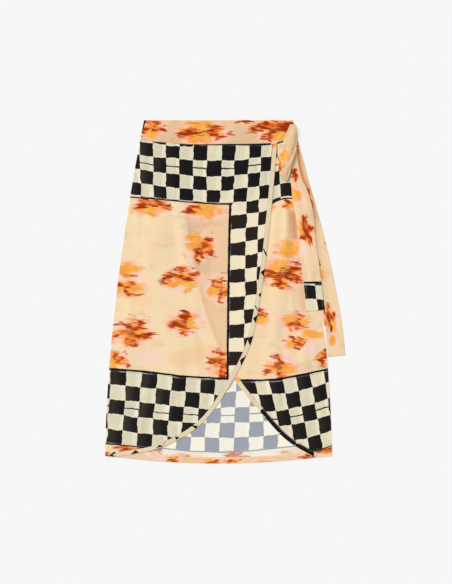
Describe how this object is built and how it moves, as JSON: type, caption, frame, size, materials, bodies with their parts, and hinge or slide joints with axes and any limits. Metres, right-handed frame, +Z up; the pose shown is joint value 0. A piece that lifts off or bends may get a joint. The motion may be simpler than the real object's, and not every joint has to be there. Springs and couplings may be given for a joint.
{
  "type": "wrap skirt",
  "caption": "Wrap skirt laid flat with its front up: curved overlapping front panels with banded edges, a gathered waistband and a side knot with hanging tie ends.",
  "frame": {"origin": "on the table under the skirt's centre line, half way between the top of the waistband and the lowest point of the hem", "axes": "+X across the skirt towards the side with the knot, +Y up the skirt towards the waist, +Z up from the table, out of the skirt's front"},
  "size_m": [0.5454, 0.779, 0.0126],
  "materials": {
    "print": "matte",
    "print_inside": "matte",
    "printed_band": "matte"
  },
  "bodies": {
    "root": {"back_panel": "print_inside", "back_hem_fold": "print", "back_waistband": "print_inside", "under_panel": "print", "under_edge_band": "printed_band", "under_waistband": "print", "over_panel": "print", "over_edge_band": "printed_band", "over_waistband": "print", "tie_long": "print", "tie_short": "print", "knot_wrap": "print", "knot_fold": "print"}
  },
  "joints": []
}
